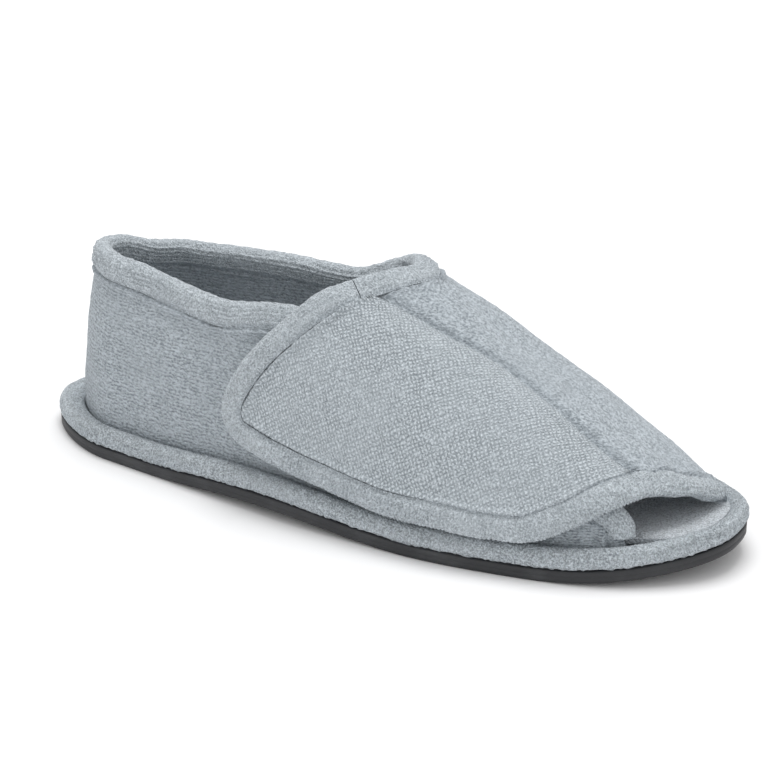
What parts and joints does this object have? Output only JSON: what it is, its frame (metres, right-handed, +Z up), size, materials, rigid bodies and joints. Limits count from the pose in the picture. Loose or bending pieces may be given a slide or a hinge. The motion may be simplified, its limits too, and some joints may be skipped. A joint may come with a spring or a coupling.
{
  "type": "open-toe wrap slipper",
  "caption": "Open-toe terry wrap slipper with a hollow upper, a wide flap closed over its outer side, bound edges, a cloth-wrapped platform and a thin rubber outsole.",
  "frame": {"origin": "on the floor, in the middle of the flat spot under the heel", "axes": "+X towards the toe, +Y towards the inner side of the foot, +Z up"},
  "size_m": [0.2731, 0.1026, 0.0866],
  "materials": {
    "black_rubber": "matt moulded rubber",
    "rim_terry": "terry pile wrapped round the rim",
    "insole_terry": "terry pile",
    "upper_terry": "looped terry",
    "binding_terry": "ribbed folded terry tape"
  },
  "bodies": {
    "root": {"outsole": "black_rubber", "platform": "rim_terry", "insole": "insole_terry", "upper": "upper_terry", "wrap_flap": "upper_terry", "collar_binding": "binding_terry", "flap_binding": "binding_terry", "toe_binding": "binding_terry"}
  },
  "joints": []
}
